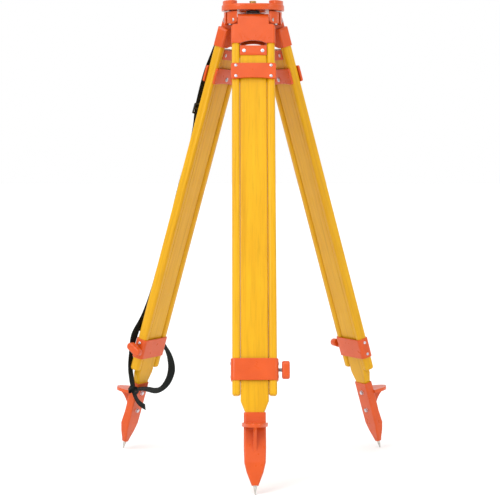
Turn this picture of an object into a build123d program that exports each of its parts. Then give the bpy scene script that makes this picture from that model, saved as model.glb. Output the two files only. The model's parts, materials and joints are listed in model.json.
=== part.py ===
"""Surveyor's tripod with three wooden extension legs, a cast head and a 5/8 inch centring screw.

Millimetres, +Z up. The origin is where the tripod's axis meets the plane of the three head pads.
Every leg is modelled in its own frame: k runs across the leg, n points away from the tripod's
axis and s runs down the leg, all from the middle of its hinge pin.
"""

import os
from math import copysign, cos, pi, radians, sin, tan

from build123d import *

os.makedirs("parts", exist_ok=True)

# Stance
LEG_AZIMUTHS = {"front": -90, "right": 30, "left": 150}
CORNER_AZIMUTHS = (-30, 90, 210)
SPREAD = 17.2
HINGE_RADIUS = 45
HINGE_Z = -43
TIP_S = 1030

# Head casting
RIM_Z = -8
PLATE_BOTTOM_Z = -21.5
PLATE_CORNER_OFFSET = 19
PLATE_CORNER_RADIUS = 52.5
EAR_INSET = 5
EAR_BOSS_RADIUS = 8.5
EAR_HEIGHT = 21
EAR_GAP = 0.6
CORNER_BOSS_AT = 56
CORNER_BOSS_RADIUS = 9
CLAMP_SLOT = 2.4
PAD_AT = 62
PAD_RADIUS = 19
PAD_INSET = 2
HEAD_OPENING_RADIUS = 28
KNUCKLE_HALF = 34
KNUCKLE_RADIUS = 12.5
PIN_RADIUS = 5
PIN_HALF = 45
PINCH_BOLT = (5.5, 3.6, 3)
PINCH_BOLT_LENGTH = 35
RUNNING_GAP = 0.05

# Centring screw and its arm
ARM_THICKNESS = 5
ARM_WIDTH = 30
ARM_END_Y = -36
ARM_PIVOT_Y = 35
ARM_PIVOT_RADIUS = 3
ARM_PIVOT_DEPTH = 10
ARM_PIVOT_BOLT = (5.5, 3, 3)
ARM_NOSE_RADIUS = 9
ARM_SLOT_LENGTH = 38
ARM_SLOT_WIDTH = 18.6
SLIDER_HALF = 9
SLIDER_FLANGE_HALF = 12
SCREW_RADIUS = 7.94
SCREW_TOP_Z = 1.5
SCREW_THREAD_LENGTH = 20
SCREW_SHANK_RADIUS = 7
SCREW_LIFT = 16.5
FLANGE_THICKNESS = 3
WASHER_THICKNESS = 2.5
WASHER_RADIUS = 13.5
SCREW_KNOB_HEIGHT = 17
SCREW_KNOB_RADIUS = 16

# Upper leg
RAIL_NAMES = {-1: "left_rail", 1: "right_rail"}
LEG_WIDTH = 93
LEG_THICKNESS = 22
RAIL_WIDTH = 17
RAIL_CORNER = 6
RAIL_TOP_S = 24
RAIL_END_S = 827
CASTING_WIDTH = 96
CASTING_THICKNESS = 26
CASTING_CORNER = 5
CASTING_SHOULDER_S = 15
CASTING_SHOULDER_RADIUS = 8
CASTING_END_S = 58
CASTING_ARCH = 6
PLATE_WIDTH = 97.5
PLATE_THICKNESS = 5
PLATE_TOP_S = 105
PLATE_END_S = 141
PLATE_ARCH = 3
PLATE_CORNER = 4
CLAMP_TOP_S = 750
CLAMP_END_S = 796
CLAMP_WALL = 3

# Lower leg
BOARD_WIDTH = 58.4
BOARD_THICKNESS = 16
BOARD_EDGE = 4
BOARD_TOP_S = 63
BOARD_TAPER_S = 838
BOARD_NECK_WIDTH = 40
BOARD_END_S = 946
SLIDE_PLATE_END_S = 85
SLIDE_PLATE_THICKNESS = 1.8
SOCKET_WIDTH = 40.4
SOCKET_THICKNESS = 16.4
SOCKET_TOP_S = 862
SOCKET_END_S = 948
SHOE_CORNER = 4
SHOE_FACE = 10
STEP_S = 883
STEP_ROOT = 8
STEP_REACH = 49
STEP_HALF_WIDTH = 27
STEP_THICKNESS = 7.5
STEP_TILT = 11
RIB_THICKNESS = 7
RIB_TIP = (50, 898)
RIB_HOLLOW = (25, 914)
RIB_END = (9, 950)
SPIKE_TOP_S = 985
SPIKE_RADIUS = 4
SPIKE_SHOULDER_S = 1013

# Shoe body: s, width across, thickness and how far its middle stands out
SHOE_SECTIONS = [
    (862, 45.4, 20, 0),
    (900, 45.8, 20, 0),
    (935, 45.8, 19.4, -0.2),
    (965, 44, 22, 1),
    (985, 34, 18, 0.5),
    (1003, 20, 13, 0),
    (1011, 14, 12, 0),
]

# Clamp screw
STUD_RADIUS = 4
STUD_END_K = 69
CLAMP_PAD_RADIUS = 4.3
CLAMP_PAD_BORE = 4.6
CLAMP_PAD_THICKNESS = 3
WING_START_K = 56.5
WING_THICKNESS = 16.5
WING_LENGTH = 38
WING_WIDTH = 18
WING_EDGE = 4
WING_ANGLES = {"front": 0, "right": -56, "left": 70}

# Fasteners: head radius, head height, shank radius
SMALL_SCREW = (3.2, 1.4, 2.5)
TENSION_SCREW = (5, 2.4, 4)
SLIDE_SCREW = (4, 0.7, 2.5)
SHOE_BOLT = (5.2, 4.5, 3)
PLATE_SCREW_K = 38
PLATE_SCREW_S = (111, 135)
PLATE_SCREW_DEPTH = 18
TENSION_SCREW_S = 128
CLAMP_SCREW_S = (759.3, 787)
CLAMP_SCREW_DEPTH = 14
SLIDE_SCREW_K = 20
SLIDE_SCREW_S = 75
SHOE_BOLT_S = (886, 930)

# Strap of the left leg, as (k, n, s) points of that leg
STRAP_RADIUS = 3.5
KNOT_RADIUS = 8.5
BUCKLE_SIZE = (26, 6, 20)
UPPER_ROUTE = [
    (30, 14.8, 58),
    (29, 19, 84),
    (32, 22.5, 120),
    (32, 22, 165),
    (31, 21.5, 206),
    (25, 16.5, 250),
    (22, 18, 318),
    (26, 17.5, 400),
    (20, 18.5, 490),
    (24, 17.5, 575),
    (20, 20, 650),
    (31, 20, 706),
    (41, 25.5, 748),
    (34, 25, 790),
    (38, 15, 828),
    (37, 0.5, 856),
    (41, -10, 872),
    (33, -17, 891),
    (22, -26, 905),
    (8, -34, 911),
]
LOWER_ROUTE = [
    (34.5, 22.5, 725),
    (6, 23, 741),
    (-26, 23, 754),
    (-55, 15, 765),
    (-66, -8, 784),
    (-78, -19, 808),
    (-84, -27, 834),
    (-74, -30, 862),
    (-48, -28, 880),
    (-18, -24, 876),
    (12, -21, 868),
    (41, -10, 872),
]
BUCKLE_POINT = UPPER_ROUTE[4]
KNOT_POINT = LOWER_ROUTE[-1]

hinge_gap = KNUCKLE_HALF + EAR_GAP
boss_bottom_z = HINGE_Z - EAR_BOSS_RADIUS + 2
stop_gap = 0.3
half_width = LEG_WIDTH / 2
half_thickness = LEG_THICKNESS / 2
rail_k = half_width - RAIL_WIDTH / 2
casting_height = CASTING_END_S - CASTING_SHOULDER_S
arch_half_width = half_width - RAIL_WIDTH - 2
board_face = BOARD_THICKNESS / 2
slide_plate_face = board_face + SLIDE_PLATE_THICKNESS
plate_face = half_thickness + PLATE_THICKNESS
clamp_side = half_width + CLAMP_WALL
clamp_face = half_thickness + CLAMP_WALL
stud_s = (CLAMP_TOP_S + CLAMP_END_S) / 2
clamp_pad_k = BOARD_WIDTH / 2 + stop_gap
stud_start_k = clamp_pad_k + CLAMP_PAD_THICKNESS
arm_top_z = PLATE_BOTTOM_Z - 0.5
arm_bottom_z = arm_top_z - ARM_THICKNESS
flange_z = arm_bottom_z - stop_gap
washer_z = flange_z - FLANGE_THICKNESS - stop_gap - SCREW_LIFT
screw_knob_z = washer_z - WASHER_THICKNESS - stop_gap
screw_end_z = screw_knob_z - SCREW_KNOB_HEIGHT + 4
screw_hole_radius = SCREW_RADIUS + RUNNING_GAP
corner_spots = [(CORNER_BOSS_AT, 0)]
arm_pivot_spots = [(0, ARM_PIVOT_Y)]
tension_spots = [(0, TENSION_SCREW_S)]
stud_spots = [(0, stud_s)]
clamp_screw_spots = [(0, s) for s in CLAMP_SCREW_S]
slide_screw_spots = [(-SLIDE_SCREW_K, SLIDE_SCREW_S), (SLIDE_SCREW_K, SLIDE_SCREW_S)]
shoe_bolt_spots = [(0, s) for s in SHOE_BOLT_S]
plate_screw_spots = [(k, s) for k in (-PLATE_SCREW_K, PLATE_SCREW_K) for s in PLATE_SCREW_S]


def save(piece, label):
    """Name a finished piece and write it to its own file."""
    piece.part.label = label
    export_step(piece.part, f"parts/{label}.step")


def leg_frame(azimuth):
    """The leg's own frame: x is k, y is n and z is s."""
    across = Vector(-sin(radians(azimuth)), cos(radians(azimuth)), 0)
    outward = Vector(cos(radians(azimuth)), sin(radians(azimuth)), 0)
    down = outward * sin(radians(SPREAD)) - Vector(0, 0, 1) * cos(radians(SPREAD))
    hinge = outward * HINGE_RADIUS + Vector(0, 0, HINGE_Z)
    return Plane(origin=hinge, x_dir=across, z_dir=down)


def face(leg, n):
    """A plane across the leg at n, with (k, s) coordinates and its normal towards the tripod's axis."""
    return Plane(origin=leg.from_local_coords((0, n, 0)), x_dir=leg.x_dir, z_dir=-leg.y_dir)


def side(leg, k):
    """A plane along the leg at k, with (n, s) coordinates and its normal along +k."""
    return Plane(origin=leg.from_local_coords((k, 0, 0)), x_dir=leg.y_dir, z_dir=leg.x_dir)


def hinge_side(azimuth, k):
    """An upright plane across a hinge line at k, with (radial, height) coordinates from the pin."""
    across = Vector(-sin(radians(azimuth)), cos(radians(azimuth)), 0)
    outward = Vector(cos(radians(azimuth)), sin(radians(azimuth)), 0)
    pin = outward * HINGE_RADIUS + Vector(0, 0, HINGE_Z) + across * k
    return Plane(origin=pin, x_dir=outward, z_dir=outward.cross(Vector(0, 0, 1)))


def head_outline(inset):
    """The head's rounded triangle, drawn smaller by the inset."""
    with BuildSketch() as outline:
        with PolarLocations(PLATE_CORNER_OFFSET, 3, start_angle=CORNER_AZIMUTHS[0]):
            Circle(PLATE_CORNER_RADIUS - inset)
        make_hull()
    return outline.sketch


def arch(foot_s, half_width, rise, mode=Mode.ADD):
    """The area between a straight lower edge and an arch above it, in (k, s) coordinates."""
    with BuildSketch(mode=Mode.PRIVATE) as area:
        with BuildLine():
            Line((half_width, foot_s), (-half_width, foot_s))
            ThreePointArc((-half_width, foot_s), (0, foot_s - rise), (half_width, foot_s))
        make_face()
    add(area.sketch, mode=mode)


def pegs(plane, spots, radius, length, mode=Mode.ADD):
    """Round pegs, or holes, that stand on a plane at the given spots."""
    with BuildSketch(plane) as rounds:
        with Locations(*spots):
            Circle(radius)
    extrude(rounds.sketch, amount=length, mode=mode)


def screws(plane, spots, size, length):
    """Screws with their heads on a plane and their shanks, of a signed length, through it."""
    head_radius, head_height, shank_radius = size
    pegs(plane, spots, shank_radius, length)
    pegs(plane, spots, head_radius, -copysign(head_height, length))


def strap_tube(points):
    """A tube along straight runs that are joined by arcs as large as the runs allow."""
    radii = []
    for before, point, after in zip(points, points[1:], points[2:]):
        shorter = min((point - before).length, (after - point).length)
        turn = radians((point - before).get_angle(after - point))
        radii.append(0.45 * shorter / tan(turn / 2))
    with BuildPart() as tube:
        with BuildLine() as path:
            FilletPolyline(*points, radius=radii)
        with BuildSketch(Plane(origin=path.line @ 0, z_dir=path.line % 0)):
            Circle(STRAP_RADIUS)
        sweep()
    length = path.wires()[0].length
    print("strap", round(length), "mm, arcs", [round(radius) for radius in radii])
    print("volume over section times length", tube.part.volume / (pi * STRAP_RADIUS**2 * length))
    return tube


# The head ------------------------------------------------------------------------------------

with BuildPart() as head_casting:
    with BuildSketch(Plane.XY.offset(PLATE_BOTTOM_Z)):
        with PolarLocations(CORNER_BOSS_AT, 3, start_angle=CORNER_AZIMUTHS[0]):
            Circle(CORNER_BOSS_RADIUS)
            Rectangle(CORNER_BOSS_RADIUS, 2 * CORNER_BOSS_RADIUS, align=(Align.MAX, Align.CENTER))
    extrude(amount=boss_bottom_z - PLATE_BOTTOM_Z)
    for azimuth in LEG_AZIMUTHS.values():
        for k_side in (-1, 1):
            with BuildSketch(hinge_side(azimuth, k_side * hinge_gap)):
                Circle(EAR_BOSS_RADIUS)
                Rectangle(2 * EAR_BOSS_RADIUS, EAR_HEIGHT, align=(Align.CENTER, Align.MIN))
            extrude(amount=-k_side * 24)
    with BuildSketch(Plane.XY.offset(PLATE_BOTTOM_Z)):
        add(head_outline(EAR_INSET))
    extrude(amount=2 * (boss_bottom_z - PLATE_BOTTOM_Z), mode=Mode.INTERSECT)
    for azimuth in LEG_AZIMUTHS.values():
        with BuildSketch(hinge_side(azimuth, -hinge_gap)):
            Rectangle(70, 50)
        extrude(amount=-2 * hinge_gap, mode=Mode.SUBTRACT)
        pegs(hinge_side(azimuth, -PIN_HALF), [(0, 0)], PIN_RADIUS, -2 * PIN_HALF, Mode.SUBTRACT)
    for azimuth in CORNER_AZIMUTHS:
        with BuildSketch(Plane.XY.offset(PLATE_BOTTOM_Z - 1).rotated((0, 0, azimuth))):
            with Locations((CORNER_BOSS_AT - 6, 0)):
                Rectangle(40, 80, align=(Align.MIN, Align.CENTER))
        extrude(amount=-CLAMP_SLOT, mode=Mode.SUBTRACT)
    with BuildSketch(Plane.XY.offset(PLATE_BOTTOM_Z)):
        add(head_outline(0))
    extrude(amount=RIM_Z - PLATE_BOTTOM_Z)
    fillet(head_casting.edges().filter_by(Plane.XY).group_by(Axis.Z)[-1], 4)
    with BuildSketch(Plane.XY.offset(RIM_Z - 2)):
        with PolarLocations(PAD_AT, 3, start_angle=CORNER_AZIMUTHS[0]):
            Circle(PAD_RADIUS)
        add(head_outline(PAD_INSET), mode=Mode.INTERSECT)
    extrude(amount=2 - RIM_Z)
    fillet(head_casting.edges().filter_by(Plane.XY).group_by(Axis.Z)[-1], 1.5)
    pegs(Plane.XY.offset(PLATE_BOTTOM_Z), [(0, 0)], HEAD_OPENING_RADIUS, 40, Mode.SUBTRACT)
    pivot_plane = Plane.XY.offset(PLATE_BOTTOM_Z)
    pegs(pivot_plane, arm_pivot_spots, ARM_PIVOT_RADIUS, ARM_PIVOT_DEPTH, Mode.SUBTRACT)
    for azimuth in CORNER_AZIMUTHS:
        corner = Plane.XY.offset(boss_bottom_z).rotated((0, 0, azimuth))
        pegs(corner, corner_spots, PINCH_BOLT[2], PINCH_BOLT_LENGTH, Mode.SUBTRACT)
save(head_casting, "head_casting")

with BuildPart() as hinge_pins:
    for azimuth in LEG_AZIMUTHS.values():
        pegs(hinge_side(azimuth, -PIN_HALF), [(0, 0)], PIN_RADIUS, -2 * PIN_HALF)
save(hinge_pins, "hinge_pins")

with BuildPart() as pinch_bolts:
    for azimuth in CORNER_AZIMUTHS:
        corner = Plane.XY.offset(boss_bottom_z).rotated((0, 0, azimuth))
        with BuildSketch(corner):
            with Locations(*corner_spots):
                RegularPolygon(PINCH_BOLT[0], 6)
        extrude(amount=-PINCH_BOLT[1])
        pegs(corner, corner_spots, PINCH_BOLT[2], PINCH_BOLT_LENGTH)
save(pinch_bolts, "pinch_bolts")

with BuildPart() as centring_arm:
    with BuildSketch(Plane.XY.offset(arm_top_z)):
        with Locations(*arm_pivot_spots):
            Circle(ARM_NOSE_RADIUS)
        with GridLocations(0, 2 * (-ARM_END_Y - ARM_WIDTH / 2), 1, 2):
            Circle(ARM_WIDTH / 2)
        make_hull()
        Rectangle(ARM_SLOT_WIDTH, ARM_SLOT_LENGTH, mode=Mode.SUBTRACT)
        with Locations(*arm_pivot_spots):
            Circle(ARM_PIVOT_RADIUS + RUNNING_GAP, mode=Mode.SUBTRACT)
    extrude(amount=-ARM_THICKNESS)
save(centring_arm, "centring_arm")

with BuildPart() as arm_pivot_bolt:
    pivot_seat = Plane.XY.offset(arm_bottom_z - stop_gap)
    pivot_length = PLATE_BOTTOM_Z + ARM_PIVOT_DEPTH - arm_bottom_z + stop_gap
    screws(pivot_seat, arm_pivot_spots, ARM_PIVOT_BOLT, pivot_length)
    fillet(arm_pivot_bolt.edges().group_by(Axis.Z)[0], 1.2)
save(arm_pivot_bolt, "arm_pivot_bolt")

with BuildPart() as screw_slider:
    with BuildSketch(Plane.XY.offset(flange_z)):
        RectangleRounded(2 * SLIDER_FLANGE_HALF, 2 * SLIDER_FLANGE_HALF, 3)
    extrude(amount=-FLANGE_THICKNESS)
    with BuildSketch(Plane.XY.offset(flange_z)):
        RectangleRounded(2 * SLIDER_HALF, 2 * SLIDER_HALF, 1)
    extrude(amount=ARM_THICKNESS)
    slider_bottom = Plane.XY.offset(flange_z - FLANGE_THICKNESS)
    slider_height = FLANGE_THICKNESS + ARM_THICKNESS
    pegs(slider_bottom, [(0, 0)], screw_hole_radius, slider_height, Mode.SUBTRACT)
save(screw_slider, "screw_slider")

with BuildPart() as screw_washer:
    washer_top = Plane.XY.offset(washer_z)
    pegs(washer_top, [(0, 0)], WASHER_RADIUS, -WASHER_THICKNESS)
    pegs(washer_top, [(0, 0)], screw_hole_radius, -WASHER_THICKNESS, Mode.SUBTRACT)
save(screw_washer, "screw_washer")

with BuildPart() as centring_screw:
    pegs(Plane.XY.offset(SCREW_TOP_Z), [(0, 0)], SCREW_RADIUS, -SCREW_THREAD_LENGTH)
    chamfer(centring_screw.faces().filter_by(Plane.XY).edges(), 1)
    screw_end = Plane.XY.offset(screw_end_z)
    pegs(screw_end, [(0, 0)], SCREW_SHANK_RADIUS, SCREW_TOP_Z - 2 - screw_end_z)
save(centring_screw, "centring_screw")

with BuildPart() as screw_knob:
    with BuildSketch(Plane.XY.offset(screw_knob_z)):
        Circle(SCREW_KNOB_RADIUS)
        with PolarLocations(SCREW_KNOB_RADIUS + 1.4, 12):
            Circle(2.6, mode=Mode.SUBTRACT)
    extrude(amount=-SCREW_KNOB_HEIGHT)
    chamfer(screw_knob.faces().sort_by(Axis.Z)[0].edges(), 0.8)
    pegs(screw_end, [(0, 0)], SCREW_SHANK_RADIUS, screw_knob_z - screw_end_z, Mode.SUBTRACT)
save(screw_knob, "screw_knob")


# The legs ------------------------------------------------------------------------------------

for leg_name, leg_azimuth in LEG_AZIMUTHS.items():
    leg = leg_frame(leg_azimuth)
    down_leg = Axis(leg.origin, leg.z_dir)
    out_of_leg = Axis(leg.origin, leg.y_dir)

    with BuildPart() as hinge_casting:
        with BuildSketch(leg.offset(CASTING_SHOULDER_S)):
            RectangleRounded(CASTING_WIDTH, CASTING_THICKNESS, CASTING_CORNER)
        extrude(amount=casting_height)
        with BuildSketch(face(leg, CASTING_THICKNESS)):
            with Locations((0, CASTING_END_S)):
                RectangleRounded(CASTING_WIDTH, 2 * casting_height, CASTING_SHOULDER_RADIUS)
        extrude(amount=2 * CASTING_THICKNESS, mode=Mode.INTERSECT)
        with BuildSketch(side(leg, -KNUCKLE_HALF)):
            Circle(KNUCKLE_RADIUS)
            Rectangle(
                2 * KNUCKLE_RADIUS,
                CASTING_SHOULDER_S + 5,
                align=(Align.CENTER, Align.MIN),
            )
        extrude(amount=2 * KNUCKLE_HALF)
        with BuildSketch(leg.offset(RAIL_TOP_S)):
            with GridLocations(2 * rail_k, 0, 2, 1):
                RectangleRounded(RAIL_WIDTH, LEG_THICKNESS, RAIL_CORNER)
            RectangleRounded(LEG_WIDTH - 2 * RAIL_WIDTH - 4, LEG_THICKNESS - 2, 3)
        extrude(amount=CASTING_END_S, mode=Mode.SUBTRACT)
        with BuildSketch(face(leg, CASTING_THICKNESS)):
            arch(CASTING_END_S, arch_half_width, CASTING_ARCH)
        extrude(amount=2 * CASTING_THICKNESS, mode=Mode.SUBTRACT)
        knuckle_end = side(leg, -KNUCKLE_HALF)
        pegs(knuckle_end, [(0, 0)], PIN_RADIUS + RUNNING_GAP, 2 * KNUCKLE_HALF, Mode.SUBTRACT)
    save(hinge_casting, f"{leg_name}_hinge_casting")

    for rail_side, rail_name in RAIL_NAMES.items():
        with BuildPart() as rail:
            with BuildSketch(leg.offset(RAIL_TOP_S)):
                with Locations((rail_side * rail_k, 0)):
                    RectangleRounded(RAIL_WIDTH, LEG_THICKNESS, RAIL_CORNER)
            extrude(amount=RAIL_END_S - RAIL_TOP_S)
            fillet(rail.faces().sort_by(down_leg)[-1].edges(), RAIL_CORNER - 0.5)
            plate_spots = [spot for spot in plate_screw_spots if spot[0] * rail_side > 0]
            outer_face = face(leg, half_thickness)
            outer_side = side(leg, rail_side * half_width)
            screw_depth = -rail_side * CLAMP_SCREW_DEPTH
            pegs(outer_face, plate_spots, SMALL_SCREW[2], PLATE_SCREW_DEPTH, Mode.SUBTRACT)
            pegs(outer_side, clamp_screw_spots, SMALL_SCREW[2], screw_depth, Mode.SUBTRACT)
            if rail_side > 0:
                pegs(outer_side, stud_spots, CLAMP_PAD_BORE, -RAIL_WIDTH, Mode.SUBTRACT)
        save(rail, f"{leg_name}_{rail_name}")

    with BuildPart() as guide_plates:
        for plate_n in (plate_face, -half_thickness):
            with BuildSketch(face(leg, plate_n)):
                with Locations((0, (PLATE_TOP_S + PLATE_END_S) / 2)):
                    RectangleRounded(PLATE_WIDTH, PLATE_END_S - PLATE_TOP_S, PLATE_CORNER)
                arch(PLATE_END_S, PLATE_WIDTH / 2 - 9, PLATE_ARCH, Mode.SUBTRACT)
            extrude(amount=PLATE_THICKNESS)
        fillet(guide_plates.faces().sort_by(out_of_leg)[0].edges(), 1.2)
        fillet(guide_plates.faces().sort_by(out_of_leg)[-1].edges(), 1.2)
        outer_face = face(leg, plate_face)
        inner_face = face(leg, -plate_face)
        pegs(outer_face, plate_screw_spots, SMALL_SCREW[2], PLATE_THICKNESS, Mode.SUBTRACT)
        pegs(inner_face, tension_spots, TENSION_SCREW[2], -PLATE_THICKNESS, Mode.SUBTRACT)
    save(guide_plates, f"{leg_name}_guide_plates")

    with BuildPart() as clamp:
        with BuildSketch(leg.offset(CLAMP_TOP_S)):
            RectangleRounded(2 * clamp_side, 2 * clamp_face, RAIL_CORNER + CLAMP_WALL)
        extrude(amount=CLAMP_END_S - CLAMP_TOP_S)
        fillet(clamp.faces().filter_by(down_leg).edges(), 1.2)
        with BuildSketch(leg.offset(CLAMP_TOP_S)):
            RectangleRounded(LEG_WIDTH, LEG_THICKNESS, RAIL_CORNER)
        extrude(amount=CLAMP_END_S - CLAMP_TOP_S, mode=Mode.SUBTRACT)
        stud_hole_radius = STUD_RADIUS + RUNNING_GAP
        left_side = side(leg, -clamp_side)
        right_side = side(leg, clamp_side)
        pegs(right_side, stud_spots, stud_hole_radius, -2 * CLAMP_WALL, Mode.SUBTRACT)
        pegs(left_side, clamp_screw_spots, SMALL_SCREW[2], 2 * clamp_side, Mode.SUBTRACT)
    save(clamp, f"{leg_name}_clamp")

    with BuildPart() as side_screws:
        plate_screw_length = PLATE_THICKNESS + PLATE_SCREW_DEPTH
        screws(face(leg, plate_face), plate_screw_spots, SMALL_SCREW, plate_screw_length)
        screws(face(leg, -plate_face), tension_spots, TENSION_SCREW, -PLATE_THICKNESS)
        for k_side in (-1, 1):
            screw_length = -k_side * (CLAMP_SCREW_DEPTH + CLAMP_WALL)
            screws(side(leg, k_side * clamp_side), clamp_screw_spots, SMALL_SCREW, screw_length)
    save(side_screws, f"{leg_name}_side_screws")

    with BuildPart() as board:
        with BuildSketch(face(leg, board_face)):
            with BuildLine():
                edge = [
                    (BOARD_WIDTH / 2, BOARD_TOP_S),
                    (BOARD_WIDTH / 2, BOARD_TAPER_S),
                    (BOARD_NECK_WIDTH / 2, SOCKET_TOP_S - 1),
                    (BOARD_NECK_WIDTH / 2, BOARD_END_S),
                ]
                Polyline(edge + [(-k, s) for k, s in reversed(edge)], close=True)
            make_face()
        extrude(amount=BOARD_THICKNESS)
        fillet(board.faces().filter_by(out_of_leg).edges(), BOARD_EDGE)
        front = face(leg, board_face)
        pegs(front, slide_screw_spots, SLIDE_SCREW[2], BOARD_THICKNESS, Mode.SUBTRACT)
        pegs(front, shoe_bolt_spots, SHOE_BOLT[2], BOARD_THICKNESS, Mode.SUBTRACT)
    save(board, f"{leg_name}_board")

    with BuildPart() as slide_plates:
        slide_plate_height = SLIDE_PLATE_END_S - BOARD_TOP_S
        for plate_n in (slide_plate_face, -board_face):
            with BuildSketch(face(leg, plate_n)):
                with Locations((0, BOARD_TOP_S + slide_plate_height / 2)):
                    RectangleRounded(BOARD_WIDTH, slide_plate_height, 1.5)
            extrude(amount=SLIDE_PLATE_THICKNESS)
        front = face(leg, slide_plate_face)
        pegs(front, slide_screw_spots, SLIDE_SCREW[2], 2 * slide_plate_face, Mode.SUBTRACT)
    save(slide_plates, f"{leg_name}_slide_plates")

    with BuildPart() as slide_screws:
        screws(face(leg, slide_plate_face), slide_screw_spots, SLIDE_SCREW, slide_plate_face)
        screws(face(leg, -slide_plate_face), slide_screw_spots, SLIDE_SCREW, -slide_plate_face)
    save(slide_screws, f"{leg_name}_slide_screws")

    with BuildPart() as shoe:
        for section_s, width, thickness, middle_n in SHOE_SECTIONS:
            with BuildSketch(leg.offset(section_s)):
                with Locations((0, middle_n)):
                    RectangleRounded(width, thickness, SHOE_CORNER)
        loft(ruled=True)
        step_root = leg.from_local_coords((0, STEP_ROOT, STEP_S))
        step_down = leg.z_dir * cos(radians(STEP_TILT)) - leg.y_dir * sin(radians(STEP_TILT))
        with BuildSketch(Plane(origin=step_root, x_dir=leg.x_dir, z_dir=step_down)):
            Ellipse(STEP_HALF_WIDTH, STEP_REACH)
            Rectangle(
                2 * STEP_HALF_WIDTH,
                STEP_REACH,
                align=(Align.CENTER, Align.MIN),
                mode=Mode.INTERSECT,
            )
        extrude(amount=STEP_THICKNESS)
        with BuildSketch(side(leg, -RIB_THICKNESS / 2)):
            with BuildLine():
                Polyline(RIB_END, (STEP_ROOT - 2, STEP_S + 2), (RIB_TIP[0], RIB_TIP[1] - 3), RIB_TIP)
                ThreePointArc(RIB_TIP, RIB_HOLLOW, RIB_END)
            make_face()
        extrude(amount=RIB_THICKNESS)
        with BuildSketch(leg.offset(SOCKET_TOP_S)):
            Rectangle(SOCKET_WIDTH, SOCKET_THICKNESS)
        extrude(amount=SOCKET_END_S - SOCKET_TOP_S, mode=Mode.SUBTRACT)
        bolt_face = face(leg, -SHOE_FACE)
        pegs(bolt_face, shoe_bolt_spots, SHOE_BOLT[0], SHOE_BOLT[1], Mode.SUBTRACT)
        pegs(bolt_face, shoe_bolt_spots, SHOE_BOLT[2], -SHOE_FACE, Mode.SUBTRACT)
        spike_seat = leg.offset(SPIKE_TOP_S)
        pegs(spike_seat, [(0, 0)], SPIKE_RADIUS, TIP_S - SPIKE_TOP_S, Mode.SUBTRACT)
    save(shoe, f"{leg_name}_shoe")

    with BuildPart() as shoe_bolts:
        screws(face(leg, -SHOE_FACE), shoe_bolt_spots, SHOE_BOLT, -SHOE_FACE - board_face)
    save(shoe_bolts, f"{leg_name}_shoe_bolts")

    with BuildPart() as spike:
        with BuildSketch(side(leg, 0)):
            with BuildLine():
                Polyline(
                    (0, SPIKE_TOP_S),
                    (SPIKE_RADIUS, SPIKE_TOP_S),
                    (SPIKE_RADIUS, SPIKE_SHOULDER_S),
                    (1.2, TIP_S - 1),
                    (0, TIP_S),
                    close=True,
                )
            make_face()
        revolve(axis=down_leg)
    save(spike, f"{leg_name}_spike")

    with BuildPart() as clamp_pad:
        pegs(side(leg, clamp_pad_k), stud_spots, CLAMP_PAD_RADIUS, CLAMP_PAD_THICKNESS)
    save(clamp_pad, f"{leg_name}_clamp_pad")

    with BuildPart() as stud:
        pegs(side(leg, stud_start_k), stud_spots, STUD_RADIUS, STUD_END_K - stud_start_k)
    save(stud, f"{leg_name}_stud")

    with BuildPart() as wing_knob:
        with BuildSketch(side(leg, WING_START_K)):
            with Locations(*stud_spots):
                SlotOverall(WING_LENGTH, WING_WIDTH, rotation=90 + WING_ANGLES[leg_name])
        extrude(amount=WING_THICKNESS)
        across = Axis(leg.origin, leg.x_dir)
        fillet(wing_knob.faces().filter_by(across).edges(), WING_EDGE)
        stud_start = side(leg, stud_start_k)
        pegs(stud_start, stud_spots, STUD_RADIUS, STUD_END_K - stud_start_k, Mode.SUBTRACT)
    save(wing_knob, f"{leg_name}_wing_knob")


# The strap -----------------------------------------------------------------------------------

left_leg = leg_frame(LEG_AZIMUTHS["left"])

save(strap_tube([left_leg.from_local_coords(point) for point in UPPER_ROUTE]), "strap_upper")
save(strap_tube([left_leg.from_local_coords(point) for point in LOWER_ROUTE]), "strap_lower")

with BuildPart() as strap_knot:
    with Locations(left_leg.from_local_coords(KNOT_POINT)):
        Sphere(KNOT_RADIUS)
save(strap_knot, "strap_knot")

with BuildPart() as strap_buckle:
    buckle_k, buckle_n, buckle_s = BUCKLE_POINT
    buckle_width, buckle_thickness, buckle_height = BUCKLE_SIZE
    with BuildSketch(face(left_leg, buckle_n + buckle_thickness / 2)):
        with Locations((buckle_k, buckle_s)):
            RectangleRounded(buckle_width, buckle_height, 2)
    extrude(amount=buckle_thickness)
save(strap_buckle, "strap_buckle")
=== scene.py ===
"""Looks of the surveyor's tripod: enamelled castings, varnished legs, bright screws and a webbing strap.

Metres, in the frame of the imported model: +Z up, the origin in the plane of the head's pads, and the
front leg towards -Y. Each leg has its own axes as well: k across it, n away from the tripod's axis
and s down the leg, from the middle of its hinge pin.
"""

import json
from math import cos, pi, radians, sin

import bpy
from mathutils import Matrix, Vector


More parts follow.
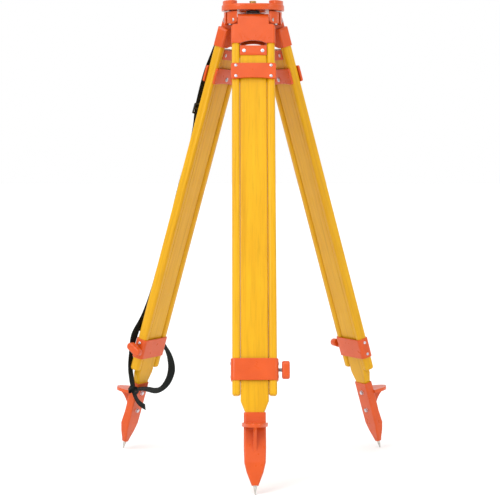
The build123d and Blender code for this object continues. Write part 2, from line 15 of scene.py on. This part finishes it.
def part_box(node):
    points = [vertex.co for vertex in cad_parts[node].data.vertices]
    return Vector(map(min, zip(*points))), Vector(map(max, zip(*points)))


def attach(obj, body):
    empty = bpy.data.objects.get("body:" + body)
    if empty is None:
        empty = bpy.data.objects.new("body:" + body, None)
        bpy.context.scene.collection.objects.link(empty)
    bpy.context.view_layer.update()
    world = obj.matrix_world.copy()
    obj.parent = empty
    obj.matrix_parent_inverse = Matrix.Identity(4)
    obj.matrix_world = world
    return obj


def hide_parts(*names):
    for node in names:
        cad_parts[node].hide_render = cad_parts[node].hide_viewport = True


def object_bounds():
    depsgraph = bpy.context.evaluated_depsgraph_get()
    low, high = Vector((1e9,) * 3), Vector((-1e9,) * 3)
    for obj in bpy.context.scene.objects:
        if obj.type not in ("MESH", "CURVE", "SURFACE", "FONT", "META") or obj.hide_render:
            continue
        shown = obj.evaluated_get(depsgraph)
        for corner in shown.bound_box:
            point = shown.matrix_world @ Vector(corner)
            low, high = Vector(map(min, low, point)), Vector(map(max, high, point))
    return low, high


LEGS = ("front", "right", "left")

# Camera
CAMERA_DISTANCE = 3.592
CAMERA_Z = -0.329
CAMERA_BEARING = 0.79
CAMERA_PAN = 0.69
CAMERA_PITCH = -3.51
CAMERA_LENS = 116.2
SENSOR_WIDTH = 36

# Area lamps, each with its position, the point it faces, its size and its power
AREA_LIGHTS = {
    "key": ((-2.4, -3.4, 1.2), (0, 0, -0.45), (0.9, 2.2), 38),
    "fill": ((3.0, -2.6, 0.6), (0, 0, -0.5), (0.8, 2.0), 17),
}

# The sun that stands for the studio's ceiling
CEILING_POWER = 1.5
CEILING_SPREAD = 60
CEILING_AIM = (0.3, 0.45, -0.85)

# Brightness of the studio's walls
WORLD_FRONT = 0.85
WORLD_BACK = 1.0
WALL_TURNS_WHITE_AT = 0.6
FLOOR_REACH = 30

# Colours, each a ramp's stops
ENAMEL_TONES = [(0.3, (0.56, 0.068, 0.004)), (0.7, (0.62, 0.080, 0.006))]
ENAMEL_SPECKS = (0.45, 0.055, 0.004)
WOOD_TONES = [
    (0.25, (0.60, 0.295, 0.003)),
    (0.5, (0.66, 0.345, 0.004)),
    (0.75, (0.70, 0.38, 0.006)),
]
GRAIN_SHADES = [(0.30, (0.70, 0.72, 0.72)), (0.52, (1.0, 1.0, 1.0))]
FADED_PATCHES = [(0.3, (0.96, 0.93, 0.9)), (0.7, (1.0, 1.0, 1.0))]
WEBBING_TONES = [(0.2, (0.001, 0.0022, 0.0018)), (0.9, (0.006, 0.010, 0.0085))]
FLOOR_TONES = [(0.3, (0.91, 0.91, 0.91)), (0.7, (0.93, 0.93, 0.93))]

# Strap
STRAP_WIDTH = 0.018
STRAP_THICKNESS = 0.0015
UPPER_ROUTE = [
    (30, 14.8, 58),
    (29, 19, 84),
    (32, 22.5, 120),
    (32, 22, 165),
    (31, 21.5, 206),
    (25, 16.5, 250),
    (22, 18, 318),
    (26, 17.5, 400),
    (20, 18.5, 490),
    (24, 17.5, 575),
    (20, 20, 650),
    (31, 20, 706),
    (41, 25.5, 748),
    (34, 25, 790),
    (40, 14, 827),
    (41, -1.5, 855),
    (44, -11.5, 871),
    (35, -18, 890),
    (22, -26, 905),
    (8, -34, 911),
]
LOWER_ROUTE = [
    (34.5, 22.5, 725),
    (6, 23, 741),
    (-26, 23, 754),
    (-55, 15, 765),
    (-66, -8, 784),
    (-78, -19, 808),
    (-84, -27, 834),
    (-74, -30, 862),
    (-48, -28, 880),
    (-18, -24, 876),
    (12, -21, 868),
    (44, -11.5, 871),
]
# Which way the webbing faces at each point, in the leg's axes
UPPER_FACING = [
    (0, 1, -0.16),
    (0, 1, -0.12),
    (0, 1, -0.04),
    (-0.05, 1, 0),
    (-0.04, 1, 0.06),
    (0.07, 1, 0.04),
    (0.17, 1, 0),
    (0.17, 1, 0),
    (0.17, 1, 0),
    (0.17, 1, 0),
    (0.11, 1, -0.02),
    (-0.03, 1, -0.05),
    (-0.48, 0.88, -0.03),
    (-0.08, 1, 0.13),
    (-0.03, 0.94, 0.35),
    (-0.1, 0.85, 0.5),
    (0.05, 0.88, 0.47),
    (0.18, 0.83, 0.53),
    (0.1, 0.7, 0.7),
    (0.03, 0.57, 0.82),
]
LOWER_FACING = [
    (0, 1, 0),
    (0, 1, 0),
    (0, 1, 0),
    (-0.1, 1, 0.3),
    (0.1, 0.75, 0.6),
    (-0.3, 0.9, 0.25),
    (-0.7, 0.7, 0.19),
    (-0.41, 0.84, 0.34),
    (-0.09, 0.99, -0.08),
    (-0.2, 0.82, -0.54),
    (-0.22, 0.76, -0.61),
    (-0.2, 0.75, -0.63),
]
BUCKLE_POINT = UPPER_ROUTE[4]
BUCKLE_HALF = (0.0118, 0.0105)
BUCKLE_BAR = 0.002
KNOT_POINT = LOWER_ROUTE[-1]
KNOT_STEPS = 96
KNOT_SIZE = 0.0042
KNOT_WIDTH = 0.011
KNOT_FLATNESS = 0.6

# Screw heads' radius, height and recess, and the bolt heads' radius and height
SMALL_HEAD = (0.0032, 0.0014, 0.0007)
TENSION_HEAD = (0.005, 0.0024, 0.0012)
SLIDE_HEAD = (0.004, 0.0007, 0.0004)
BOLT_HEAD = (0.0048, 0.0045)
HEAD_STEPS = 32
HEX_SIDES = 6

# Where they sit, in millimetres along a leg's axes
GUIDE_HEAD_K = 38
GUIDE_HEAD_N = 16
GUIDE_HEAD_S = (111, 135)
CLAMP_HEAD_K = 49.5
CLAMP_HEAD_S = (759.3, 787)
TENSION_HEAD_AT = (0, -16, 128)
SLIDE_HEAD_K = 20
SLIDE_HEAD_N = 9.8
SLIDE_HEAD_S = 75
BOLT_HEAD_N = -10
BOLT_HEAD_S = (886, 930)
STUD_AT = (32.5, 0, 773)

# Threads
THREAD_STEPS = 24
ROWS_PER_THREAD = 8
STUD_RADIUS = 0.004
STUD_THREAD_DEPTH = 0.0009
STUD_PITCH = 0.002
STUD_LENGTH = 0.0365
SCREW_THREAD_DEPTH = 0.0012
SCREW_PITCH = 0.00231
THREAD_LENGTH = 0.02
SHANK_RADIUS = 0.007
SHANK_ROW = 0.02
SHANK_SHORTER = 0.001

EDGE_ROUNDING = 0.0006

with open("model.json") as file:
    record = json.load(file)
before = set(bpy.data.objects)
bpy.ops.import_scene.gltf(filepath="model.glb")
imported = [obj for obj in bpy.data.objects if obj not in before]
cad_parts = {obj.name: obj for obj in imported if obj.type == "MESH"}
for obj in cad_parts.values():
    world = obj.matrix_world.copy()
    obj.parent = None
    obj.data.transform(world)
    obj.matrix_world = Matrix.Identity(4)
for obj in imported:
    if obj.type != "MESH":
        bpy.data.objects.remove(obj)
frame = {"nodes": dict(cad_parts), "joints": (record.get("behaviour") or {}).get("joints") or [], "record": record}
cad_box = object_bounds()
nodes = frame["nodes"]
joints = {joint["name"]: joint for joint in frame["joints"]}


def leg_matrix(leg):
    """From a leg's own axes to the row frame."""
    across = Vector(joints[f"{leg}_pad_slide"]["axis"])
    down = Vector(joints[f"{leg}_foot_slide"]["axis"])
    axes = Matrix((across, down.cross(across), down)).transposed().to_4x4()
    return Matrix.Translation(Vector(joints[f"{leg}_leg_fold"]["pos_m"])) @ axes


leg_frames = {leg: leg_matrix(leg) for leg in LEGS}


# Camera, floor and light -----------------------------------------------------------------------

bearing = radians(CAMERA_BEARING)
pan = radians(CAMERA_PAN)
pitch = radians(CAMERA_PITCH)
camera = bpy.data.objects.new("camera", bpy.data.cameras.new("camera"))
bpy.context.scene.collection.objects.link(camera)
camera.location = (-CAMERA_DISTANCE * sin(bearing), -CAMERA_DISTANCE * cos(bearing), CAMERA_Z)
looking = Vector((sin(pan) * cos(pitch), cos(pan) * cos(pitch), sin(pitch)))
camera.rotation_euler = looking.to_track_quat("-Z", "Y").to_euler()
camera.data.lens = CAMERA_LENS
camera.data.sensor_width = SENSOR_WIDTH
bpy.context.scene.camera = camera
bpy.context.scene.view_settings.view_transform = "Standard"

floor_z = cad_box[0].z


def area_light(name, position, target, size, power):
    """A soft rectangular lamp that faces a point."""
    lamp = bpy.data.lights.new(name, "AREA")
    lamp.shape = "RECTANGLE"
    lamp.size, lamp.size_y = size
    lamp.energy = power
    made = bpy.data.objects.new(name, lamp)
    bpy.context.scene.collection.objects.link(made)
    made.location = position
    aim = Vector(target) - Vector(position)
    made.rotation_euler = aim.to_track_quat("-Z", "Y").to_euler()


for lamp_name, settings in AREA_LIGHTS.items():
    area_light(lamp_name, *settings)

ceiling = bpy.data.lights.new("ceiling", "SUN")
ceiling.energy = CEILING_POWER
ceiling.angle = radians(CEILING_SPREAD)
ceiling_lamp = bpy.data.objects.new("ceiling", ceiling)
bpy.context.scene.collection.objects.link(ceiling_lamp)
ceiling_lamp.rotation_euler = Vector(CEILING_AIM).to_track_quat("-Z", "Y").to_euler()


# Materials -------------------------------------------------------------------------------------


def add_node(tree, kind, inputs=None, **settings):
    """A shader node whose inputs are values or other nodes' outputs."""
    made = tree.nodes.new(kind)
    for name, value in settings.items():
        setattr(made, name, value)
    for name, value in (inputs or {}).items():
        if isinstance(value, bpy.types.NodeSocket):
            tree.links.new(value, made.inputs[name])
        else:
            made.inputs[name].default_value = value
    return made


def new_material(name):
    """A material with its node tree, its shader and its object coordinates."""
    material = bpy.data.materials.new(name)
    material.use_nodes = True
    tree = material.node_tree
    shader = tree.nodes["Principled BSDF"]
    coordinates = tree.nodes.new("ShaderNodeTexCoord").outputs["Object"]
    return material, tree, shader, coordinates


def noise(tree, vector, scale, detail=3, roughness=0.5):
    """Noise between 0 and 1."""
    settings = {"Vector": vector, "Scale": scale, "Detail": detail, "Roughness": roughness}
    return add_node(tree, "ShaderNodeTexNoise", settings).outputs["Fac"]


def ramp(tree, factor, stops):
    """A colour ramp through (position, colour) stops, or (position, grey) ones."""
    made = add_node(tree, "ShaderNodeValToRGB", {"Fac": factor})
    elements = made.color_ramp.elements
    while len(elements) < len(stops):
        elements.new(1)
    for element, (position, colour) in zip(elements, stops):
        element.position = position
        element.color = (*colour, 1) if isinstance(colour, tuple) else (colour, colour, colour, 1)
    return made.outputs["Color"]


def mix(tree, factor, first, second, blend="MIX"):
    """Two colours mixed by a factor."""
    made = add_node(tree, "ShaderNodeMix", data_type="RGBA", blend_type=blend)
    for index, value in ((0, factor), (6, first), (7, second)):
        if isinstance(value, bpy.types.NodeSocket):
            tree.links.new(value, made.inputs[index])
        else:
            made.inputs[index].default_value = (*value, 1) if isinstance(value, tuple) else value
    return made.outputs[2]


def bump(tree, height, strength, distance, under=None):
    """A bumped normal, on top of another one."""
    inputs = {"Height": height, "Strength": strength, "Distance": distance}
    if under is not None:
        inputs["Normal"] = under
    return add_node(tree, "ShaderNodeBump", inputs).outputs["Normal"]


def enamel_material():
    """Glossy orange enamel over sand-cast aluminium, a little uneven in tone and gloss."""
    material, tree, shader, coordinates = new_material("orange_enamel")
    blotches = noise(tree, coordinates, 28, 4)
    peel = noise(tree, coordinates, 900, 2)
    casting = noise(tree, coordinates, 170, 4, 0.6)
    tone = ramp(tree, blotches, ENAMEL_TONES)
    specks = ramp(tree, noise(tree, coordinates, 640, 3, 0.7), [(0.76, 0), (0.82, 1)])
    colour = mix(tree, specks, tone, ENAMEL_SPECKS)
    tree.links.new(colour, shader.inputs["Base Color"])
    gloss = ramp(tree, noise(tree, coordinates, 75, 4), [(0.3, 0.26), (0.75, 0.42)])
    tree.links.new(gloss, shader.inputs["Roughness"])
    rough_cast = bump(tree, casting, 0.16, 0.0006)
    tree.links.new(bump(tree, peel, 0.06, 0.0002, rough_cast), shader.inputs["Normal"])
    shader.inputs["Specular IOR Level"].default_value = 0.3
    shader.inputs["Coat Weight"].default_value = 0.2
    shader.inputs["Coat Roughness"].default_value = 0.12
    return material


def wood_material(leg):
    """Yellow varnished hardwood whose grain runs down one leg."""
    material, tree, shader, coordinates = new_material(f"varnished_wood_{leg}")
    turn = leg_frames[leg].to_3x3().transposed().to_euler()
    along = add_node(tree, "ShaderNodeMapping", {"Vector": coordinates, "Rotation": turn})
    stretched = add_node(
        tree,
        "ShaderNodeMapping",
        {"Vector": along.outputs["Vector"], "Scale": (1, 1, 0.035)},
    ).outputs["Vector"]
    fibres = noise(tree, stretched, 420, 5, 0.65)
    bands = noise(tree, stretched, 95, 3, 0.5)
    patches = noise(tree, along.outputs["Vector"], 9, 3)
    tone = ramp(tree, bands, WOOD_TONES)
    lines = ramp(tree, fibres, GRAIN_SHADES)
    grained = mix(tree, 0.55, tone, lines, "MULTIPLY")
    faded = ramp(tree, patches, FADED_PATCHES)
    colour = mix(tree, 1.0, grained, faded, "MULTIPLY")
    tree.links.new(colour, shader.inputs["Base Color"])
    gloss = ramp(tree, noise(tree, along.outputs["Vector"], 60, 4), [(0.3, 0.30), (0.7, 0.44)])
    tree.links.new(gloss, shader.inputs["Roughness"])
    tree.links.new(bump(tree, fibres, 0.10, 0.0004), shader.inputs["Normal"])
    shader.inputs["Specular IOR Level"].default_value = 0.18
    shader.inputs["Coat Weight"].default_value = 0.12
    shader.inputs["Coat Roughness"].default_value = 0.14
    return material


def metal_material(name, colour, roughness, scratch_scale, stain=0.25):
    """Plated or turned metal with fine scratches and faint staining."""
    material, tree, shader, coordinates = new_material(name)
    stains = noise(tree, coordinates, 130, 4, 0.6)
    darker = tuple(value * (1 - stain) for value in colour)
    tree.links.new(ramp(tree, stains, [(0.3, darker), (0.6, colour)]), shader.inputs["Base Color"])
    scratches = noise(tree, coordinates, scratch_scale, 5, 0.7)
    gloss = ramp(tree, scratches, [(0.3, roughness * 0.75), (0.75, roughness * 1.35)])
    tree.links.new(gloss, shader.inputs["Roughness"])
    tree.links.new(bump(tree, scratches, 0.08, 0.0001), shader.inputs["Normal"])
    shader.inputs["Metallic"].default_value = 1
    return material


def webbing_material():
    """Black woven webbing: a twill in both directions, lighter on the weave's raised threads."""
    material, tree, shader, _ = new_material("black_webbing")
    weave_map = add_node(tree, "ShaderNodeUVMap", uv_map="weave").outputs["UV"]
    warp = add_node(
        tree,
        "ShaderNodeTexWave",
        {"Vector": weave_map, "Scale": 0.32, "Distortion": 0.0},
        bands_direction="DIAGONAL",
    ).outputs["Fac"]
    weft = add_node(
        tree,
        "ShaderNodeTexWave",
        {"Vector": weave_map, "Scale": 0.55, "Distortion": 0.4, "Detail": 1.0},
        bands_direction="Y",
    ).outputs["Fac"]
    weave = mix(tree, 0.5, warp, weft)
    tone = ramp(tree, weave, WEBBING_TONES)
    tree.links.new(tone, shader.inputs["Base Color"])
    tree.links.new(bump(tree, weave, 0.5, 0.0004), shader.inputs["Normal"])
    shader.inputs["Roughness"].default_value = 0.72
    shader.inputs["Specular IOR Level"].default_value = 0.25
    return material


def black_material(name, tone, roughness):
    """Black plastic or enamel with a fine grain."""
    material, tree, shader, coordinates = new_material(name)
    patches = noise(tree, coordinates, 120)
    shades = ramp(tree, patches, [(0.3, tone * 0.8), (0.7, tone * 1.3)])
    tree.links.new(shades, shader.inputs["Base Color"])
    grain = noise(tree, coordinates, 1500, 2)
    tree.links.new(bump(tree, grain, 0.2, 0.0002), shader.inputs["Normal"])
    shader.inputs["Roughness"].default_value = roughness
    return material


def floor_material():
    """Plain pale paper."""
    material, tree, shader, coordinates = new_material("pale_floor")
    tone = ramp(tree, noise(tree, coordinates, 3), FLOOR_TONES)
    tree.links.new(tone, shader.inputs["Base Color"])
    shader.inputs["Roughness"].default_value = 0.9
    return material


enamel = enamel_material()
woods = {leg: wood_material(leg) for leg in LEGS}
zinc = metal_material("bright_zinc", (0.66, 0.66, 0.72), 0.28, 900)
steel = metal_material("satin_steel", (0.42, 0.42, 0.43), 0.38, 700)
spike_steel = metal_material("spike_steel", (0.62, 0.61, 0.57), 0.36, 500)
brass = metal_material("brass", (0.70, 0.47, 0.16), 0.30, 700)
webbing = webbing_material()
plastic = black_material("black_plastic", 0.012, 0.45)
black_enamel = black_material("black_enamel", 0.008, 0.35)

slot_materials = {
    "cast_orange": enamel,
    "steel": steel,
    "zinc_screws": zinc,
    "spike_steel": spike_steel,
    "brass": brass,
    "strap_webbing": webbing,
    "black_plastic": plastic,
    "black_arm": black_enamel,
}
for subpart in frame["record"]["subparts"]:
    name = subpart["node"]
    slot = subpart["material_slot"]
    chosen = slot_materials[slot] if slot in slot_materials else woods[name.split("_")[0]]
    nodes[name].data.materials.clear()
    nodes[name].data.materials.append(chosen)

# Floor and backdrop
floor_mesh = bpy.data.meshes.new("floor")
floor_signs = ((-1, -1), (1, -1), (1, 1), (-1, 1))
floor_corners = [(x * FLOOR_REACH, y * FLOOR_REACH, floor_z) for x, y in floor_signs]
floor_mesh.from_pydata(floor_corners, [], [(0, 1, 2, 3)])
floor = bpy.data.objects.new("floor", floor_mesh)
bpy.context.scene.collection.objects.link(floor)
floor_mesh.materials.append(floor_material())

# A white wall behind the tripod, and a dimmer studio in front of it
world = bpy.data.worlds.new("studio")
world.use_nodes = True
world_tree = world.node_tree
direction = world_tree.nodes.new("ShaderNodeTexCoord").outputs["Generated"]
depth = add_node(world_tree, "ShaderNodeSeparateXYZ", {"Vector": direction}).outputs["Y"]
wall = ramp(world_tree, depth, [(0.0, WORLD_FRONT), (WALL_TURNS_WHITE_AT, WORLD_BACK)])
world_tree.links.new(wall, world_tree.nodes["Background"].inputs["Color"])
bpy.context.scene.world = world


# Edges -----------------------------------------------------------------------------------------


def soften(obj, width, segments=2):
    """Small rounded edges on a CAD piece."""
    weld = obj.modifiers.new("weld", "WELD")
    weld.merge_threshold = 0.00001
    bevel = obj.modifiers.new("bevel", "BEVEL")
    bevel.width = width
    bevel.segments = segments
    bevel.limit_method = "ANGLE"
    bevel.angle_limit = radians(32)
    bevel.harden_normals = True


# Strap -----------------------------------------------------------------------------------------


def spline_points(route, to_frame):
    """Points along the smooth spline that has the route as its control points."""
    curve = bpy.data.curves.new("route", "CURVE")
    curve.dimensions = "3D"
    curve.resolution_u = 24
    spline = curve.splines.new("NURBS")
    spline.points.add(len(route) - 1)
    for point, place in zip(spline.points, route):
        point.co = (*(to_frame @ (Vector(place) / 1000)), 1)
    spline.order_u = 3
    spline.use_endpoint_u = True
    carrier = bpy.data.objects.new("route", curve)
    line = bpy.data.meshes.new_from_object(carrier)
    points = [vertex.co.copy() for vertex in line.vertices]
    bpy.data.objects.remove(carrier)
    bpy.data.curves.remove(curve)
    bpy.data.meshes.remove(line)
    return points


def at_control_point(values, share):
    """A value between the control points' values, at a share of the spline's parameter."""
    place = min(max(share * (len(values) - 2) + 0.5, 0), len(values) - 1.001)
    before = int(place)
    return values[before] + (values[before + 1] - values[before]) * (place - before)


def ribbon(name, points, facings, width=STRAP_WIDTH, thickness=STRAP_THICKNESS, closed=False):
    """Flat webbing with rounded selvedges along a line, with the way it faces at each point."""
    half = width / 2
    deep = thickness / 2
    section = [
        (-half, 0),
        (-half + deep, -deep),
        (-half / 2, -deep * 0.8),
        (half / 2, -deep * 0.8),
        (half - deep, -deep),
        (half, 0),
        (half - deep, deep),
        (half / 2, deep * 0.8),
        (-half / 2, deep * 0.8),
        (-half + deep, deep),
    ]
    count = len(section)
    rings = len(points)
    vertices = []
    distances = []
    travelled = 0
    for index, (point, facing) in enumerate(zip(points, facings)):
        before = points[index - 1] if index or closed else point
        after = points[(index + 1) % rings] if index < rings - 1 or closed else point
        tangent = (after - before).normalized()
        normal = (facing - tangent * facing.dot(tangent)).normalized()
        sideways = tangent.cross(normal)
        travelled += (point - before).length if index else 0
        distances.append(travelled)
        vertices += [point + sideways * u + normal * v for u, v in section]
    faces = []
    for ring in range(rings if closed else rings - 1):
        here = ring * count
        there = (ring + 1) % rings * count
        for corner in range(count):
            following = (corner + 1) % count
            faces.append((here + corner, here + following, there + following, there + corner))
    if not closed:
        faces.append(tuple(range(count))[::-1])
        faces.append(tuple((rings - 1) * count + corner for corner in range(count)))
    mesh = bpy.data.meshes.new(name)
    mesh.from_pydata(vertices, [], faces)
    uv_layer = mesh.uv_layers.new(name="weave")
    for polygon in mesh.polygons:
        for loop_index in polygon.loop_indices:
            vertex = mesh.loops[loop_index].vertex_index
            along = distances[vertex // count]
            uv_layer.data[loop_index].uv = (section[vertex % count][0] * 1000, along * 1000)
        polygon.use_smooth = True
    mesh.materials.append(webbing)
    return shown(name, mesh, "left_leg")


def shown(name, mesh, body):
    """An object for a mesh, on a body."""
    made = bpy.data.objects.new(name, mesh)
    bpy.context.scene.collection.objects.link(made)
    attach(made, body)
    return made


def facing_vectors(points, facings, to_frame):
    """The webbing's facings along a line, from those at the route's points."""
    turn = to_frame.to_3x3()
    facings = [Vector(facing) for facing in facings]
    last = len(points) - 1
    return [turn @ at_control_point(facings, index / last) for index in range(last + 1)]


left = leg_frames["left"]
upper_line = spline_points(UPPER_ROUTE, left)
lower_line = spline_points(LOWER_ROUTE, left)
upper_strap = ribbon("webbing_upper", upper_line, facing_vectors(upper_line, UPPER_FACING, left))
lower_strap = ribbon("webbing_lower", lower_line, facing_vectors(lower_line, LOWER_FACING, left))
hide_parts("strap_upper")
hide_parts("strap_lower")

# The knot: webbing pulled into a tight overhand lump
knot_centre = left @ (Vector(KNOT_POINT) / 1000)
knot_line = []
knot_facings = []
for step in range(KNOT_STEPS):
    turn = 2 * pi * step / KNOT_STEPS
    swirl = Vector(
        (
            KNOT_FLATNESS * (sin(turn) + 2 * sin(2 * turn)),
            cos(turn) - 2 * cos(2 * turn),
            -1.6 * sin(3 * turn),
        )
    )
    swirl = left.to_3x3() @ (swirl * KNOT_SIZE)
    knot_line.append(knot_centre + swirl)
    knot_facings.append(swirl.normalized())
knot = ribbon("webbing_knot", knot_line, knot_facings, KNOT_WIDTH, closed=True)
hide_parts("strap_knot")

# The buckle: a three-bar slider that the webbing weaves through
buckle_curve = bpy.data.curves.new("buckle", "CURVE")
buckle_curve.dimensions = "3D"
buckle_curve.bevel_depth = BUCKLE_BAR
buckle_curve.bevel_resolution = 4
buckle_curve.resolution_u = 8
half_wide, half_tall = BUCKLE_HALF
outline = [
    (-half_wide, -half_tall),
    (half_wide, -half_tall),
    (half_wide, half_tall),
    (-half_wide, half_tall),
]
frame_spline = buckle_curve.splines.new("NURBS")
corners = []
for (x, y), (next_x, next_y) in zip(outline, outline[1:] + outline[:1]):
    corners += [(x + (next_x - x) * share, y + (next_y - y) * share) for share in (0.0, 0.12, 0.88)]
frame_spline.points.add(len(corners) - 1)
for point, (x, y) in zip(frame_spline.points, corners):
    point.co = (x, 0, y, 1)
frame_spline.use_cyclic_u = True
frame_spline.order_u = 3
bar_spline = buckle_curve.splines.new("POLY")
bar_spline.points.add(1)
bar_spline.points[0].co = (-half_wide, 0, 0, 1)
bar_spline.points[1].co = (half_wide, 0, 0, 1)
buckle_carrier = bpy.data.objects.new("buckle", buckle_curve)
buckle_mesh = bpy.data.meshes.new_from_object(buckle_carrier)
bpy.data.objects.remove(buckle_carrier)
buckle_place = left @ Matrix.Translation(Vector(BUCKLE_POINT) / 1000)
buckle_mesh.transform(buckle_place)
buckle_mesh.materials.append(plastic)
for polygon in buckle_mesh.polygons:
    polygon.use_smooth = True
buckle = shown("buckle_slider", buckle_mesh, "left_leg")
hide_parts("strap_buckle")


# Screws and threads ----------------------------------------------------------------------------


def screw_head(radius, height, recess):
    """A domed head on Z with a cross recess, as vertices and faces."""
    rings = [0.0, 0.12, 0.24, 0.36, 0.48, 0.6, 0.72, 0.84, 0.93, 1.0]
    vertices = [(0, 0, height - recess)]
    faces = []
    for ring in rings[1:]:
        for step in range(HEAD_STEPS):
            turn = 2 * pi * step / HEAD_STEPS
            x = ring * cos(turn)
            y = ring * sin(turn)
            dome = height * (1 - 0.45 * ring**3)
            in_slot = min(abs(x), abs(y)) < 0.13 and ring < 0.62
            vertices.append((x * radius, y * radius, dome - (recess if in_slot else 0)))
    vertices += [(x, y, -0.0005) for x, y, _ in vertices[-HEAD_STEPS:]]
    for step in range(HEAD_STEPS):
        faces.append((0, 1 + step, 1 + (step + 1) % HEAD_STEPS))
    for ring in range(len(rings) - 1):
        here = 1 + ring * HEAD_STEPS
        there = here + HEAD_STEPS
        for step in range(HEAD_STEPS):
            following = (step + 1) % HEAD_STEPS
            faces.append((here + step, there + step, there + following, here + following))
    return vertices, faces


def hex_head(radius, height):
    """A hexagon bolt head on Z with a chamfered crown and a washer face."""
    profile = [(0, height), (0.80, height), (1.0, height * 0.82), (1.0, height * 0.14), (1.12, 0.0)]
    vertices = [(0, 0, height)]
    faces = []
    for share, level in profile[1:]:
        for step in range(HEX_SIDES):
            turn = 2 * pi * step / HEX_SIDES
            vertices.append((radius * share * cos(turn), radius * share * sin(turn), level))
    for step in range(HEX_SIDES):
        faces.append((0, 1 + step, 1 + (step + 1) % HEX_SIDES))
    for ring in range(len(profile) - 2):
        here = 1 + ring * HEX_SIDES
        there = here + HEX_SIDES
        for step in range(HEX_SIDES):
            following = (step + 1) % HEX_SIDES
            faces.append((here + step, there + step, there + following, here + following))
    return vertices, faces


def placed_copies(name, parts, material, body):
    """One piece made of (vertices, faces) shapes, each with its own matrix."""
    vertices = []
    faces = []
    for (shape_vertices, shape_faces), place in parts:
        start = len(vertices)
        vertices += [place @ Vector(vertex) for vertex in shape_vertices]
        faces += [tuple(start + index for index in shape_face) for shape_face in shape_faces]
    mesh = bpy.data.meshes.new(name)
    mesh.from_pydata(vertices, [], faces)
    mesh.materials.append(material)
    for polygon in mesh.polygons:
        polygon.use_smooth = True
    mesh.set_sharp_from_angle(angle=radians(35))
    return shown(name, mesh, body)


def facing_matrix(leg, k, n, s, out):
    """Stands a screw on a leg at (k, n, s) millimetres with its head out along a leg direction."""
    turn = Vector(out).to_track_quat("Z", "Y").to_matrix().to_4x4()
    spin = Matrix.Rotation(radians(17 * (k + s)), 4, "Z")
    return leg_frames[leg] @ Matrix.Translation(Vector((k, n, s)) / 1000) @ turn @ spin


def threaded_rod(radius, depth, pitch, length):
    """A rod on Z from 0 to its length with a single-start thread, as vertices and faces."""
    rows = round(length / pitch * ROWS_PER_THREAD)
    vertices = []
    faces = []
    for row in range(rows + 1):
        height = length * row / rows
        for step in range(THREAD_STEPS):
            turn = 2 * pi * step / THREAD_STEPS
            phase = (height / pitch - step / THREAD_STEPS) % 1
            cut = depth * (1 - abs(2 * phase - 1)) if 0 < row < rows else depth
            vertices.append(((radius - cut) * cos(turn), (radius - cut) * sin(turn), height))
    for row in range(rows):
        here = row * THREAD_STEPS
        there = here + THREAD_STEPS
        for step in range(THREAD_STEPS):
            following = (step + 1) % THREAD_STEPS
            faces.append((here + step, here + following, there + following, there + step))
    faces.append(tuple(range(THREAD_STEPS))[::-1])
    faces.append(tuple(rows * THREAD_STEPS + step for step in range(THREAD_STEPS)))
    return vertices, faces


small_head = screw_head(*SMALL_HEAD)
tension_head = screw_head(*TENSION_HEAD)
slide_head = screw_head(*SLIDE_HEAD)
bolt_head = hex_head(*BOLT_HEAD)
stud_rod = threaded_rod(STUD_RADIUS, STUD_THREAD_DEPTH, STUD_PITCH, STUD_LENGTH)
for leg in LEGS:
    side_parts = [
        (small_head, facing_matrix(leg, k, GUIDE_HEAD_N, s, (0, 1, 0)))
        for k in (-GUIDE_HEAD_K, GUIDE_HEAD_K)
        for s in GUIDE_HEAD_S
    ]
    side_parts += [
        (small_head, facing_matrix(leg, k_side * CLAMP_HEAD_K, 0, s, (k_side, 0, 0)))
        for k_side in (-1, 1)
        for s in CLAMP_HEAD_S
    ]
    side_parts.append((tension_head, facing_matrix(leg, *TENSION_HEAD_AT, (0, -1, 0))))
    side = placed_copies(f"{leg}_screw_heads", side_parts, zinc, f"{leg}_leg")
    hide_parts(f"{leg}_side_screws")
    slide_parts = [
        (slide_head, facing_matrix(leg, k, n_side * SLIDE_HEAD_N, SLIDE_HEAD_S, (0, n_side, 0)))
        for k in (-SLIDE_HEAD_K, SLIDE_HEAD_K)
        for n_side in (-1, 1)
    ]
    slide = placed_copies(
        f"{leg}_plate_screw_heads", slide_parts, zinc, f"{leg}_foot"
    )
    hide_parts(f"{leg}_slide_screws")
    bolt_parts = [
        (bolt_head, facing_matrix(leg, 0, BOLT_HEAD_N, s, (0, -1, 0))) for s in BOLT_HEAD_S
    ]
    bolts = placed_copies(f"{leg}_shoe_bolt_heads", bolt_parts, zinc, f"{leg}_foot")
    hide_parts(f"{leg}_shoe_bolts")
    stud_parts = [(stud_rod, facing_matrix(leg, *STUD_AT, (1, 0, 0)))]
    stud = placed_copies(f"{leg}_threaded_stud", stud_parts, steel, f"{leg}_knob")
    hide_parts(f"{leg}_stud")

# The centring screw: its threaded tip over a plain shank
low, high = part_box("centring_screw")
shank = threaded_rod(SHANK_RADIUS, 0, SHANK_ROW, high.z - low.z - SHANK_SHORTER)
thread = threaded_rod(high.x, SCREW_THREAD_DEPTH, SCREW_PITCH, THREAD_LENGTH)
screw_parts = [
    (shank, Matrix.Translation((0, 0, low.z))),
    (thread, Matrix.Translation((0, 0, high.z - THREAD_LENGTH))),
]
screw = placed_copies("threaded_centring_screw", screw_parts, brass, "screw")
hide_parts("centring_screw")

for obj in nodes.values():
    if not obj.hide_render:
        soften(obj, EDGE_ROUNDING)
